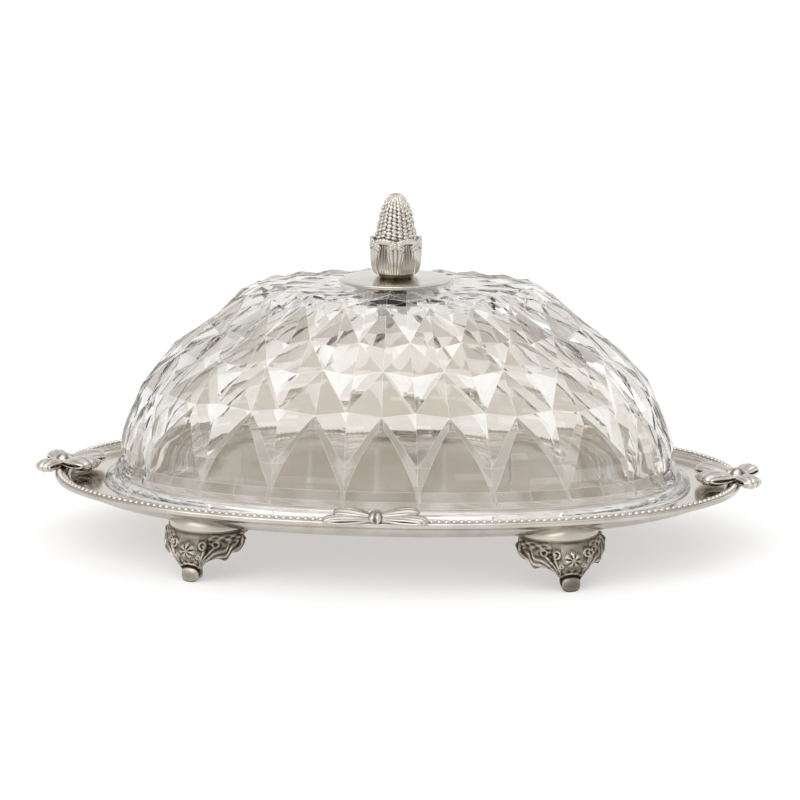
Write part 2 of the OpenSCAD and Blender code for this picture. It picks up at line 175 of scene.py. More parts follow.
tent = bpy.data.worlds.new("white_tent")
mix = Mix(tent)
height = mix.node("SeparateXYZ", {}, {0: mix.node("TexCoord", {}, {}, "Generated")}, "Z")
shade = mix.node(
    "ValToRGB",
    {
        "stops": [
            (0.0, 0.98), (0.05, 0.94), (0.20, 0.92), (0.32, 0.90), (0.45, 0.80), (0.62, 0.70),
            (0.74, 0.76), (0.84, 0.95), (1.0, 0.95),
        ]
    },
    {0: height},
)
glow = mix.node("Background", {}, {"Color": shade, "Strength": 1.0})
mix.node("OutputWorld", {}, {"Surface": glow})
scene.world = tent

lit_point = Vector((0, 0, 0.06))
for name, spot, size, watts in [
    ("soft_box_above", (0.1, -0.1, 1.5), (1.3, 0.9), 1.2),
    ("soft_box_left", (-1.3, -0.9, 0.95), (0.7, 0.9), 1.6),
    ("soft_box_right", (1.2, 1.0, 0.9), (0.5, 0.9), 1.2),
]:
    box_light = bpy.data.lights.new(name, "AREA")
    box_light.shape, box_light.size, box_light.size_y, box_light.energy = "RECTANGLE", *size, watts
    box = bpy.data.objects.new(name, box_light)
    box.location = spot
    box.rotation_euler = (lit_point - Vector(spot)).to_track_quat("-Z", "Y").to_euler()
    scene.collection.objects.link(box)

dish_light = bpy.data.lights.new("large_dish", "SUN")
dish_light.energy, dish_light.angle = 1.0, math.radians(60)
dish = bpy.data.objects.new("large_dish", dish_light)
dish.rotation_euler = Vector((0.35, 0.85, -1.0)).to_track_quat("-Z", "Y").to_euler()
scene.collection.objects.link(dish)


# ---- Tray ----
# An oval tray cast in aluminium and nickel plated, with a flat mirror-polished floor, a small
# stepped groove up to the raised rim and a rounded belly. Four turned bosses under the floor
# take the feet's screws.
bead_x, bead_y, tray_power = 0.190, 0.1115, 2.17
floor_z, rim_z = 0.0355, 0.0395
tray_profile = np.array(
    # inset at the ends, inset at the sides, height, in millimetres
    [
        [9.0, 9.0, 35.50], [8.0, 8.0, 35.50], [7.2, 7.2, 35.56], [6.5, 6.5, 35.78], [5.9, 5.9, 36.2],
        [5.4, 5.4, 36.8], [5.1, 5.1, 37.5], [4.95, 4.95, 38.1], [4.80, 4.80, 38.35], [4.5, 4.5, 38.48],
        [3.95, 3.95, 38.55], [3.75, 3.75, 38.50], [3.60, 3.60, 38.55], [3.45, 3.45, 38.9],
        [3.3, 3.3, 39.3], [3.05, 3.05, 39.47], [2.7, 2.7, 39.50], [0.5, 0.5, 39.50],
        [-1.4, -1.4, 39.50], [-1.85, -1.85, 39.38], [-2.25, -2.25, 39.05], [-2.45, -2.45, 38.6],
        [-2.50, -2.50, 38.0], [-2.46, -2.46, 37.4], [-2.2, -2.2, 36.9], [0.5, -0.8, 36.2],
        [4.8, 1.2, 35.1], [9.5, 2.5, 33.2], [13.2, 3.9, 31.7], [17.2, 5.2, 30.6], [20.6, 6.5, 29.9],
        [23.0, 7.5, 29.56], [24.5, 8.4, 29.50], [26.4, 10.5, 29.50], [26.9, 10.9, 29.56],
        [27.2, 11.2, 30.0], [27.8, 11.8, 32.5], [28.2, 12.2, 32.85], [29.0, 13.0, 32.9],
    ]
) / 1000


def oval(half_x, half_y, power, shares):
    """Points of |x / half_x| ^ power + |y / half_y| ^ power = 1 at the given shares of its
    length, from the front towards +X."""
    turn = np.radians(np.linspace(270, 630, 1441))
    c, s = np.cos(turn), np.sin(turn)
    x = half_x * np.sign(c) * np.abs(c) ** (2 / power)
    y = half_y * np.sign(s) * np.abs(s) ** (2 / power)
    run = np.append(0, np.cumsum(np.hypot(np.diff(x), np.diff(y))))
    wanted = (np.asarray(shares) % 1) * run[-1]
    return np.stack([np.interp(wanted, run, x), np.interp(wanted, run, y)], -1)


def smooth_path(points, steps):
    """A Catmull-Rom curve through the points: each stretch is a cubic whose slope at a point
    is half the way between that point's neighbours."""
    p = np.concatenate([[2 * points[0] - points[1]], points, [2 * points[-1] - points[-2]]])
    t = (np.arange(steps) / steps)[None, :, None]
    a, b, c, d = (p[k : len(p) - 3 + k, None] for k in range(4))
    curve = 0.5 * (
        2 * b + (c - a) * t + (2 * a - 5 * b + 4 * c - d) * t**2 + (3 * b - a - 3 * c + d) * t**3
    )
    return np.concatenate([curve.reshape(-1, points.shape[1]), points[-1:]])


def tube_skin(grid):
    """A closed skin from a grid of rings: quads between them, and a fan to the middle of the
    first ring and of the last."""
    rows, columns = grid.shape[:2]
    points = rows * columns
    column = np.arange(columns)
    beside = (column + 1) % columns
    start = columns * np.arange(rows - 1)[:, None]
    quads = [start + column, start + beside, start + columns + beside, start + columns + column]
    faces = [
        np.stack(quads, -1).reshape(-1, 4),
        np.stack([np.full(columns, points), beside, column], -1),
        np.stack([np.full(columns, points + 1), column + points - columns, beside + points - columns], -1),
    ]
    return np.concatenate([grid.reshape(-1, 3), [grid[0].mean(0), grid[-1].mean(0)]]), faces


def lathe_skin(profile, centre, columns=96):
    """A profile of radius r and height z turned about the upright axis through centre:
    (r sin a, -r cos a, z)."""
    turn = 2 * np.pi * np.arange(columns) / columns
    r, z = profile[:, :1], profile[:, 1:]
    x, y = r * np.sin(turn), -r * np.cos(turn)
    return tube_skin(np.stack([x, y, np.broadcast_to(z, x.shape)], -1) + np.asarray(centre))


def make_piece(name, skins, body, finish, nodes, worn=None, painted_shades=None):
    """One object from skins of points and face arrays. A skin's signed volume is the sum of
    p0 . (p1 x p2) / 6 over its triangles; where that is negative, its faces are turned round.
    worn is each point's recess, from 0 to 1, and painted_shades each face's painted shade, a brown tint of the glass
    that stands in for the tray seen through it."""
    points, faces, start = [], [], 0
    for skin_points, skin_faces in skins:
        volume = sum(
            np.einsum("ij,ij->i", skin_points[f[:, 0]], np.cross(skin_points[f[:, k]], skin_points[f[:, k + 1]])).sum()
            for f in skin_faces for k in range(1, f.shape[1] - 1)
        )
        faces += [(f[:, ::-1] if volume < 0 else f) + start for f in skin_faces]
        points.append(skin_points)
        start += len(skin_points)
    mesh = bpy.data.meshes.new(name)
    mesh.vertices.add(start)
    mesh.vertices.foreach_set("co", np.concatenate(points).astype(np.float32).ravel())
    sizes = np.concatenate([np.full(len(f), f.shape[1]) for f in faces])
    mesh.loops.add(int(sizes.sum()))
    mesh.loops.foreach_set("vertex_index", np.concatenate([f.ravel() for f in faces]).astype(np.int32))
    mesh.polygons.add(len(sizes))
    mesh.polygons.foreach_set("loop_start", np.append(0, np.cumsum(sizes)[:-1]).astype(np.int32))
    mesh.polygons.foreach_set("use_smooth", np.full(len(sizes), True))
    mesh.update(calc_edges=True)
    if worn is not None:
        mesh.attributes.new("recess", "FLOAT", "POINT").data.foreach_set("value", worn.astype(np.float32))
    if painted_shades is not None:
        mesh.attributes.new("tone", "FLOAT", "FACE").data.foreach_set("value", painted_shades.astype(np.float32))
    mesh.materials.append(finish)
    piece = bpy.data.objects.new(name, mesh)
    scene.collection.objects.link(piece)
    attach(piece, body)
    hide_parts(*nodes)
    return piece


tray_columns, floor_rings, profile_steps = 480, 13, 4
around = np.arange(tray_columns) / tray_columns
tray_path = smooth_path(tray_profile, profile_steps)
rings = np.stack([oval(bead_x - a, bead_y - b, tray_power, around) for a, b, _ in tray_path])
heights = tray_path[:, 2]
wall = np.concatenate([rings, np.broadcast_to(heights[:, None, None], (len(rings), tray_columns, 1))], -1)
# The floor's rings shrink evenly towards the middle, at its own height above and below.
shrink = np.linspace(0, 1, floor_rings)[1:-1, None, None]
upwards = np.array([0, 0, 1.0])
top_floor = wall[0] * [1, 1, 0] * shrink + upwards * floor_z
under_floor = wall[-1] * [1, 1, 0] * shrink[::-1] + upwards * heights[-1]
tray_skin = tube_skin(np.concatenate([top_floor, wall, under_floor]))

# The feet stand on a smaller oval, a bearing from its long axis, and face along its normal.
belly_x, belly_y, foot_inset, bearing = 0.166, 0.1035, 0.013, math.radians(54.5)
foot_x, foot_y = belly_x - foot_inset, belly_y - foot_inset
foot_at = np.array(
    [foot_x * math.cos(bearing) ** (2 / tray_power), foot_y * math.sin(bearing) ** (2 / tray_power)]
)
foot_turn = math.atan2(
    foot_at[0] ** (tray_power - 1) / foot_x**tray_power, foot_at[1] ** (tray_power - 1) / foot_y**tray_power
)
quarters = {"front_right": (1, -1), "back_right": (1, 1), "back_left": (-1, 1), "front_left": (-1, -1)}
boss = np.array([[0.5, 33.0], [12.0, 33.0], [12.0, 29.9], [11.6, 29.5], [0.5, 29.5]]) / 1000
bosses = [lathe_skin(boss, (x * foot_at[0], y * foot_at[1], 0), 48) for x, y in quarters.values()]


def nickel(
    name, light, dark, gloss, grain, streak=(60.0, 900.0, 900.0), wave=0.00012, tarnish=(0.16, 0.13, 0.10, 1)
):
    """Nickel plate: a cloudy polish between two tints, hair-fine buffing lines, a slow wave in the surface, and
    tarnish where the piece's recess attribute is high; on the feet that attribute also carries a painted shadow under
    the hood. The roughness is gloss, plus up to grain where it is cloudy, plus 0.28 under full tarnish."""
    finish = bpy.data.materials.new(name)
    mix = Mix(finish)
    place = mix.place()
    cloud = mix.noise(place, 38.0, 4.0, 0.6)
    lined = mix.node("Mapping", {}, {"Vector": place, "Scale": streak})
    lines = mix.noise(lined, 1.0, 4.0, 0.65)
    specks = mix.noise(place, 1400.0, 3.0, 0.6)
    recess = mix.node("Attribute", {"attribute_name": "recess"}, {}, "Fac")
    stain = mix.spread(recess + 0.35 * (cloud - 0.5), 0.15, 0.85, 0.0, 1.0)
    tint = mix.blend(mix.spread(cloud, 0.35, 0.65, 0.0, 1.0), light, dark)
    tint = mix.blend(stain, tint, tarnish)
    polish = gloss + mix.spread(cloud, 0.3, 0.7, 0.0, grain) + (lines - 0.5) * (0.6 * grain) + stain * 0.28
    relief = mix.bump(mix.noise(place, 16.0, 1.0), wave)
    relief = mix.bump(lines, 0.0000004, relief)
    relief = mix.bump(specks, 0.000003 + 0.00002 * grain, relief)
    shader = mix.node(
        "BsdfPrincipled",
        {},
        {"Base Color": tint, "Metallic": 1.0, "Roughness": polish, "Normal": relief},
    )
    mix.surface(shader)
    return finish


mirror_nickel = nickel("mirror_nickel", (0.675, 0.635, 0.585, 1), (0.635, 0.595, 0.540, 1), 0.11, 0.08)
# The polish ends at the rim's outer edge, point 18 of the profile. Past it the tray is duller.
rim_edge, outside_recess = 18, 0.36
inside_rows = len(top_floor) + profile_steps * rim_edge
outside_rows = len(top_floor) + len(wall) + len(under_floor) - inside_rows
dulled = np.repeat([0.0, outside_recess], np.array([inside_rows, outside_rows]) * tray_columns)
boss_recess = np.full(sum(len(points) for points, _ in bosses), outside_recess)
make_piece(
    "tray_casting",
    [tray_skin, *bosses],
    "footed_tray",
    mirror_nickel,
    ["tray"],
    worn=np.concatenate([dulled, [0.0, outside_recess], boss_recess]),
)


# ---- Bead border ----
# Half-round beaded wire, nickel plated, soldered to the rim in four runs between the bows. Each
# bead is a small pressed dome on a low strip.
bead_pitch, bead_r, long_gap, end_gap = 0.0039, 0.00165, 0.054, 0.034
bead_sides, bead_sink, strip_half, strip_steps, rim_steps = 9, 0.0001, 0.0015, 160, 4001
lift = np.radians(np.array([0, 32, 62]))[:, None]
spin = 2 * np.pi * np.arange(bead_sides) / bead_sides
bead_points, bead_faces = tube_skin(
    np.stack([np.cos(lift) * np.cos(spin), np.cos(lift) * np.sin(spin), np.sin(lift) + 0 * spin], -1)
)
bead_points[-1] = [0, 0, 1.0]
rim_line = oval(bead_x, bead_y, tray_power, np.arange(rim_steps) / rim_steps)
rim_length = np.hypot(*np.diff(rim_line, axis=0, append=rim_line[:1]).T).sum()
bright_nickel = nickel(
    "bright_nickel_trim",
    (0.690, 0.650, 0.595, 1),
    (0.640, 0.600, 0.545, 1),
    0.10,
    0.10,
    streak=(500.0, 500.0, 500.0),
    wave=0.00003,
)
for quarter, name in enumerate(quarters):
    gaps = (long_gap, end_gap) if quarter % 2 == 0 else (end_gap, long_gap)
    first, last = (0.5 * gap / rim_length for gap in gaps)
    run = 0.25 - first - last
    count = round(run * rim_length / bead_pitch)
    shares = 0.25 * quarter + first + run * (np.arange(count) + 0.5) / count
    centres = oval(bead_x, bead_y, tray_power, shares)
    # No two beads are quite one size: each is up to 3% larger or smaller.
    size = bead_r * (1 + 0.03 * np.sin(shares * 977.0))[:, None, None]
    beads = bead_points * size + np.append(centres, np.full((count, 1), rim_z - bead_sink), 1)[:, None]
    firsts = len(bead_points) * np.arange(count)[:, None, None]
    faces = [(f + firsts).reshape(-1, f.shape[1]) for f in bead_faces]
    recess = np.tile(np.concatenate([np.repeat([0.6, 0.15, 0.0], bead_sides), [0.6, 0.0]]), count)
    reach = 0.5 * bead_pitch / rim_length
    strip_shares = np.linspace(shares[0] - reach, shares[-1] + reach, strip_steps)
    inner, outer = (oval(bead_x + s, bead_y + s, tray_power, strip_shares) for s in (-strip_half, strip_half))
    across = np.array([0.0, 0.12, 0.5, 0.88, 1.0, 0.5])[None, :, None]
    rise = np.array([-0.2, 0.3, 0.55, 0.3, -0.2, -0.2])[None, :, None] / 1000 + rim_z
    strip = inner[:, None] * (1 - across) + outer[:, None] * across
    strip = np.concatenate([strip, np.broadcast_to(rise, (strip_steps, 6, 1))], -1)
    strip_points, strip_faces = tube_skin(strip)
    make_piece(
        f"beads_{name}",
        [(beads.reshape(-1, 3), faces), (strip_points, strip_faces)],
        "footed_tray",
        bright_nickel,
        [f"bead_border_{name}"],
        worn=np.append(recess, np.full(len(strip_points), 0.5)),
    )


# ---- Bows ----
# A cast and plated ribbon bow at each end and at the middle of each side: two loops reach out
# over the rim, two stand higher and open towards the glass, and a wrapped knot sits on the
# crossing. Each bow is soldered to the rim.
outer_limit, knot_cover, loop_stagger = -0.0124, 0.0016, 0.25


def turned_by(angle):
    """The matrix that turns points, as points @ matrix, about the upright axis by an angle."""
    c, s = math.cos(angle), math.sin(angle)
    return np.array([[c, s, 0], [-s, c, 0], [0, 0, 1]])


def thicken(middle, half_thickness):
    """A band's rings from its middle surface: out by half the thickness along the normal, which
    is the cross product of the slopes along the band and across it, and back on the other side."""
    normal = np.cross(np.gradient(middle, axis=0), np.gradient(middle, axis=1))
    normal /= np.linalg.norm(normal, axis=-1, keepdims=True) + 1e-12
    return np.concatenate([middle + half_thickness * normal, (middle - half_thickness * normal)[:, ::-1]], 1)


def both_sides(crease):
    """A band's recess, once for each of its sides, in the order of thicken."""
    return np.concatenate([crease, crease[:, ::-1]], 1).ravel()


def ribbon_loop(reach, direction, start_height, rise, width, tilt):
    """A ribbon that leaves the knot, turns over at reach and comes back: along the loop's angle
    a from -180 to 180 degrees, the way out is reach (1 + cos a) / 2 and the height is
    rise sin a cos(a / 2) over a line from the knot that climbs by tilt. Both layers close
    towards the ribbon's edges by most of that height, and carry pleats that fade at the knot."""
    a = np.radians(np.linspace(-174, 174, 61))[:, None]
    v = np.linspace(-1, 1, 21)[None]
    out = (1 + np.cos(a)) / 2
    full = 0.40 + 0.60 * np.sin(0.5 * np.pi * np.clip(out / 0.6, 0, 1)) ** 1.2 - 0.5 * np.clip(out - 0.82, 0, 1)
    along = reach * out * (1 - 0.10 * v**2 * out)
    side = width * full * v
    arch = rise * np.sin(a) * np.cos(a / 2)
    pleat = 0.00030 * np.cos(4 * np.pi * v) * np.clip(1.6 * out, 0, 1)
    up = start_height + tilt * out + arch * (1 - 0.75 * v**2) + pleat * np.sign(np.sin(a))
    heading = np.array(direction) / np.hypot(*direction)
    x = along * heading[0] - side * heading[1]
    y = np.maximum(along * heading[1] + side * heading[0], outer_limit)
    rings = thicken(np.stack([x, y, up], -1), 0.00058 * (1 - 0.35 * v[..., None] ** 6))
    folds = np.clip(-np.cos(4 * np.pi * v), 0, 1) * np.clip(1.6 * out, 0, 1)
    return tube_skin(rings), np.append(both_sides(0.9 * np.clip(0.35 - out, 0, 1) + 0.62 * folds), [0.5, 0.5])


# A loop's reach along the rim and inwards, its height at the knot, its rise, its half width and
# its tilt, in millimetres.
long_bow = [((25.5, -5.8), 2.0, 2.4, 5.4, 0.2), ((20.5, 3.4), 3.0, 3.4, 5.8, 1.0)]
end_bow = [((16.5, -8.4), 1.3, 4.0, 6.0, 0.2), ((12.5, 19.0), 1.5, 4.2, 8.8, 1.0)]
for name, turn, from_middle, loops in [
    ("bow_front", 0, bead_y, long_bow),
    ("bow_right", 90, bead_x, end_bow),
    ("bow_back", 180, bead_y, long_bow),
    ("bow_left", 270, bead_x, end_bow),
]:
    skins, worn = [], []
    for side in (-1, 1):
        for (along_rim, inwards), start, rise, half, tilt in loops:
            direction = (side * along_rim * 0.001, inwards * 0.001)
            reach = np.hypot(*direction) + knot_cover
            start += loop_stagger * side
            skin, wear = ribbon_loop(reach, direction, start * 0.001, rise * 0.001, half * 0.001, tilt * 0.001)
            skins.append(skin)
            worn.append(wear)
    # The knot is a ball of half sizes 4.4, 6.6 and 3.3 mm with six flutes.
    ball, angle = np.radians(np.linspace(-88, 88, 15))[:, None], np.radians(np.arange(0, 360, 7.5))[None]
    flute = 1 + 0.07 * np.cos(6 * angle) * np.cos(ball)
    x, y = 0.0044 * np.cos(ball) * np.cos(angle) * flute, 0.0066 * np.cos(ball) * np.sin(angle) * flute
    skins.append(tube_skin(np.stack([x, y, 0.0027 + 0.0033 * np.sin(ball) + 0 * angle], -1)))
    worn.append(np.append(0.45 - 0.45 * np.cos(6 * angle) * np.cos(ball), [0.0, 0.0]))
    turned = turned_by(math.radians(turn))
    skins = [((points - [0, from_middle, 0]) @ turned + [0, 0, rim_z], faces) for points, faces in skins]
    make_piece(
        f"{name}_ribbon", skins, "footed_tray", bright_nickel, [name], worn=np.concatenate(worn)
    )


# ---- Collars ----
# A turned ring between each foot and the tray's belly, nickel plated with a satin finish. Its
# upper edge is cut to the belly's curve and soldered there.
collar_columns, collar_solder, collar_seat = 128, 0.0004, 0.0024
collar = np.array(
    [[2.2, 27.0], [20.6, 27.0], [21.3, 27.05], [21.8, 27.3], [22.0, 27.8], [21.9, 28.6], [21.7, 29.2]]
) / 1000
belly = tray_profile[24:34]


def underside(x, y):
    """The belly's height over a point: each of its rings gives |x / half_x| ^ power +
    |y / half_y| ^ power there, and the height is read where that passes 1."""
    x, y = np.abs(x)[..., None], np.abs(y)[..., None]
    passed = (x / (bead_x - belly[:, 0])) ** tray_power + (y / (bead_y - belly[:, 1])) ** tray_power
    ring = np.clip((passed < 1).sum(-1, keepdims=True), 1, len(belly) - 1)
    low, high = np.take_along_axis(passed, ring - 1, -1), np.take_along_axis(passed, ring, -1)
    share = np.clip((1 - low) / (high - low), 0, 1)
    return (belly[ring - 1, 2] + share * (belly[ring, 2] - belly[ring - 1, 2]))[..., 0]


satin_nickel = nickel(
    "satin_nickel",
    (0.60, 0.56, 0.495, 1),
    (0.52, 0.48, 0.42, 1),
    0.27,
    0.12,
    streak=(500.0, 500.0, 500.0),
    wave=0.00005,
)
collar_line = smooth_path(collar, 3)
radius, height = collar_line[:, :1], collar_line[:, 1:]
round_ring = 2 * np.pi * np.arange(collar_columns) / collar_columns
turned_ring = np.stack(
    [radius * np.sin(round_ring), -radius * np.cos(round_ring), height + 0 * round_ring], -1
)
for name, (x, y) in quarters.items():
    ring = turned_ring + [x * foot_at[0], y * foot_at[1], 0]
    top = ring[-1].copy()
    top[:, 2] = underside(top[:, 0], top[:, 1]) + collar_solder
    seat = ring[0] + [0, 0, collar_seat]
    collar_points, collar_faces = tube_skin(np.concatenate([ring, top[None], seat[None]]))
    make_piece(
        f"collar_ring_{name}",
        [(collar_points, collar_faces)],
        "footed_tray",
        satin_nickel,
        [f"collar_{name}"],
        worn=np.zeros(len(collar_points)),
    )


# ---- Feet ----
# Cast feet with an antiqued nickel plate: a hollow crown under the collar, a leaf wing on each
# side with fluted lobes, a shield with a rosette on the leg, and a hooded toe. A screw from
# below holds each foot.
foot_crown, wall_radius, toe_radius = 27.2, 22.4, 18.8


def ridge(distance, width):
    """A round-topped ridge: exp(-(distance / width) ^ 2)."""
    return np.exp(-((distance / width) ** 2))


def hollowness(radius, reach):
    """How far each point of a grid lies below the mean of the square of points round it, which
    is a mean along one axis and then along the other, each from a running total."""
    mean = radius
    for axis in (0, 1):
        padded = np.pad(mean, [(reach, reach) if k == axis else (0, 0) for k in (0, 1)], "edge")
        total = np.cumsum(np.insert(padded, 0, 0, axis), axis)
        starts = np.arange(radius.shape[axis])
        mean = (np.take(total, starts + 2 * reach + 1, axis) - np.take(total, starts, axis)) / (2 * reach + 1)
    return mean - radius


def foot_skin():
    """A closed shell round the collar's front, in millimetres until its points are made. Each
    column stands at an arc length x and goes from the crown down to the casting's scalloped
    lower outline and up its back. The front's radius follows one moulding in height on the leg
    and another on the wings, plus the flutes, curls, rosette, hood and toe; the back lies inside
    it by the wall's thickness."""
    outline = np.array(
        # arc length from the middle, height of the lower edge
        [
            [0, 0], [1.5, 0], [3.0, 0.3], [4.3, 1.1], [5.2, 2.4], [5.7, 4.2], [5.9, 6.4], [6.6, 7.9],
            [7.8, 9.3], [9.4, 10.9], [11.5, 12.3], [13.5, 13.1], [15.5, 13.1], [17.5, 12.6],
            [19.0, 12.0], [20.2, 12.1], [21.0, 13.2], [21.8, 14.8], [23.0, 15.7], [24.8, 15.8],
            [26.3, 16.0], [27.6, 16.7], [28.6, 18.2], [29.5, 20.4], [30.2, 22.4],
        ]
    )
    u = np.linspace(-1, 1, 241)
    x = outline[-1, 0] * (0.6 * u + 0.4 * u**3)
    lower = np.interp(np.abs(x), outline[:, 0], outline[:, 1])[None]
    z = foot_crown + (lower - foot_crown) * np.linspace(0, 1, 108)[:, None]
    x = x[None] + 0 * z
    ax = np.abs(x)

    # The wings: q is the share of the way up from the lower edge.
    q = (z - lower) / (foot_crown - lower)
    wing = np.interp(
        q,
        [0, 0.05, 0.13, 0.26, 0.38, 0.48, 0.60, 0.74, 0.86, 0.93, 1],
        [22.8, 23.8, 24.5, 24.4, 23.4, 22.6, 22.5, 22.7, 22.4, 21.3, 21.0],
    )
    flutes = np.cos(2 * np.pi * (0.34 * (z - lower) - 0.15 * ax + 0.02 * (ax - 15) ** 2 / 15))
    wing = wing + 1.3 * (ax / 30) ** 4 + 0.40 * flutes * np.clip((0.52 - q) / 0.1, 0, 1)
    vine = np.sin(1.15 * ax + 2.2 * np.sin(0.9 * z)) + 0.7 * np.sin(2.3 * z + 0.8 * ax)
    wing = wing + 0.28 * vine * np.clip((q - 0.46) / 0.08, 0, 1) * np.clip((0.92 - q) / 0.06, 0, 1)

    # The leg: a shield of a half width that grows upwards, its border, its rosette of seven
    # petals, and a fan and two curls below that.
    leg = np.interp(
        z,
        [0, 7.4, 8.6, 10.5, 13, 16, 19, 22.0, 24.5, 26, foot_crown],
        [21.5, 21.6, 21.9, 22.9, 24.2, 24.9, 24.6, 23.4, 22.2, 21.2, 21.0],
    )
    wide = np.interp(z, [0, 8, 12, 17, 21, foot_crown], [6.2, 6.2, 7.8, 9.4, 10.0, 11.5])
    leg = leg + 0.8 * ridge(ax - (wide - 1.0), 0.6) * np.clip((24 - z) / 2, 0, 1)
    rosette_z = 17.6
    off, clock = np.hypot(x, z - rosette_z), np.arctan2(x, z - rosette_z)
    petals = 0.5 + 0.5 * np.cos(7 * clock)
    leg = leg + np.exp(-((off / 4.1) ** 6)) * (0.7 + 1.0 * petals * np.clip(off / 1.8, 0, 1)) + 0.9 * ridge(off, 1.1)
    fan = np.cos(9 * np.arctan2(x, z - 6.0)) * np.clip((12.8 - z) / 1.5, 0, 1) * np.clip((z - 9.0) / 1.0, 0, 1)
    leg = leg + 0.30 * fan + 0.6 * ridge(np.hypot(ax - 5.8, 1.2 * (z - 14.2)) - 1.0, 0.55)

    # Both together, with a stippled ground, two pairs of curls, the hood over the toe and the toe.
    share = np.clip((wide - ax) / 1.6 + 0.5, 0, 1)
    share = share * share * (3 - 2 * share)
    stipple = np.sin(5.1 * x + 1.7 * z) * np.sin(4.7 * z - 1.3 * x)
    r = wing + (leg - wing) * share + 0.22 * stipple * np.clip((z - 8.5) / 1, 0, 1) * np.clip((26 - z) / 1, 0, 1)
    curl = np.hypot(ax - 8.2, z - 20.6)
    r = r + 1.1 * ridge(curl - 1.8, 0.65) + 1.0 * ridge(curl, 0.7)
    r = r + 0.9 * ridge(np.hypot(ax - 14.5, 1.4 * (z - 20.8)) - 1.8, 0.6) * np.clip((ax - 12) / 1, 0, 1)
    hood = 8.6 - 0.055 * ax**2
    r = r + 0.9 * ridge(z - hood - 1.1, 0.7) * np.clip(1.25 - ax / 6.5, 0, 1)
    pad = np.clip(1 - np.abs(x / 6.2) ** 2.6 - np.abs((z - 3.6) / 5.2) ** 2.6, 0, None) ** (1 / 2.6)
    r = np.where(z < hood, np.maximum(np.minimum(r, 21.4), toe_radius + 5.6 * pad + 0.10 * stipple), r)

    # The back: the wall thins to the shell's two ends, and the toe is a full rounded pad.
    thick = 3.2 + 4.0 * share
    edge = np.clip((1 - np.abs(u)) / 0.03, 0.12, 1)[None]
    rear = np.where(z < 7.3, toe_radius - 5.0 * pad, np.maximum(r - thick * edge, 15.0))
    front, back = (
        np.stack([radius * np.sin(x / wall_radius), -radius * np.cos(x / wall_radius), z], -1) / 1000
        for radius in (r, rear)
    )
    # Painted shadow: a dark band just under the hood, where the hood shades the toe, added to the recess with the
    # patina of the hollows.
    hood_shadow_band = 0.45 * ridge(z - hood + 0.3, 0.6) * (ax < 6.5)
    recess = np.clip(0.52 + 0.06 * (z < hood) + 1.15 * hollowness(r, 5) + hood_shadow_band, 0, 1)
    wear = np.concatenate([recess, np.full_like(recess, 0.6)])
    skin = tube_skin(np.swapaxes(np.concatenate([front, back[::-1]]), 0, 1))
    return skin, np.append(wear.T.ravel(), [0.6, 0.6])


antique_nickel = nickel(
    "antiqued_nickel",
    (0.56, 0.51, 0.44, 1),
    (0.42, 0.375, 0.31, 1),
    0.17,
    0.16,
    streak=(300.0, 300.0, 300.0),
    wave=0.0001,
    tarnish=(0.060, 0.047, 0.034, 1),
)
(shell, shell_faces), shell_patina_and_shade = foot_skin()
cap = np.array([[0.5, foot_crown], [20.4, foot_crown], [20.6, 27.0], [20.6, 24.0], [20.2, 23.5], [0.5, 23.5]]) / 1000
cap_points, cap_faces = lathe_skin(cap, (0, 0, 0))
for name, (x, y) in quarters.items():
    turned = turned_by(x * foot_turn if y < 0 else math.pi - x * foot_turn)
    spot = np.array([x * foot_at[0], y * foot_at[1], 0])
    make_piece(
        f"foot_casting_{name}",
        [(shell @ turned + spot, shell_faces), (cap_points @ turned + spot, cap_faces)],
        "footed_tray",
        antique_nickel,
        [f"foot_{name}"],
        worn=np.append(shell_patina_and_shade, np.full(len(cap_points), 0.45)),
    )


# ---- Foot screws ----
# A round-headed steel screw under each foot goes up through the foot and its collar into the
# tray's boss. All four are turned from one bar.


def steel(name, tint, gloss):
    """Turned steel: fine rings of tool marks and small dull spots."""
    finish = bpy.data.materials.new(name)
    mix = Mix(finish)
    place = mix.place()
    marks = mix.noise(mix.node("Mapping", {}, {"Vector": place, "Scale": (150.0, 150.0, 4000.0)}), 1.0, 3.0)
    spots = mix.noise(place, 500.0, 4.0)
    dull_tint = (*(0.75 * part for part in tint[:3]), 1)
    shader = mix.node(
        "BsdfPrincipled",
        {},
        {
            "Base Color": mix.blend(mix.spread(spots, 0.4, 0.7, 0.0, 1.0), tint, dull_tint),
            "Metallic": 1.0,
            "Roughness": gloss + 0.15 * spots,
            "Normal": mix.bump(marks, 0.00001),
        },
    )
    mix.surface(shader)
    return finish


def refinish(nodes, finish):
    """Gives CAD nodes a finish in place of their plain one."""
    for name in nodes:
        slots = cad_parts[name].data.materials
        slots.clear()
        slots.append(finish)


turned_steel = steel("turned_steel", (0.56, 0.55, 0.53, 1), 0.22)
refinish(["foot_screws"], turned_steel)


# ---- Glass dome ----
# One pressing of clear glass: petals under the plate, four rows of diamonds with raised middles,
# a skirt of bevelled pointed arches and a foot flange. The inside is smooth. It rests on the
# tray and is lifted off by the finial.
columns, dome_x, dome_y, dome_power = 20, 0.1565, 0.088, 2.3
glass_z, glass_top_z, roof_z, dome_h = 0.03555, 0.14705, 0.14005, 0.1115
glass_wall, diamond_rise, pane_rise, top_r, stud_hole_r = 0.0045, 0.004, 0.0017, 0.029, 0.0031
# Shares of the height and of the inset where the arches end and each row of diamonds begins.
levels = np.array([[0.12, 0.02], [0.47, 0.13], [0.65, 0.27], [0.77, 0.42], [0.92, 0.56], [0.985, 0.62]])
even = np.arange(2 * columns) / (2 * columns)


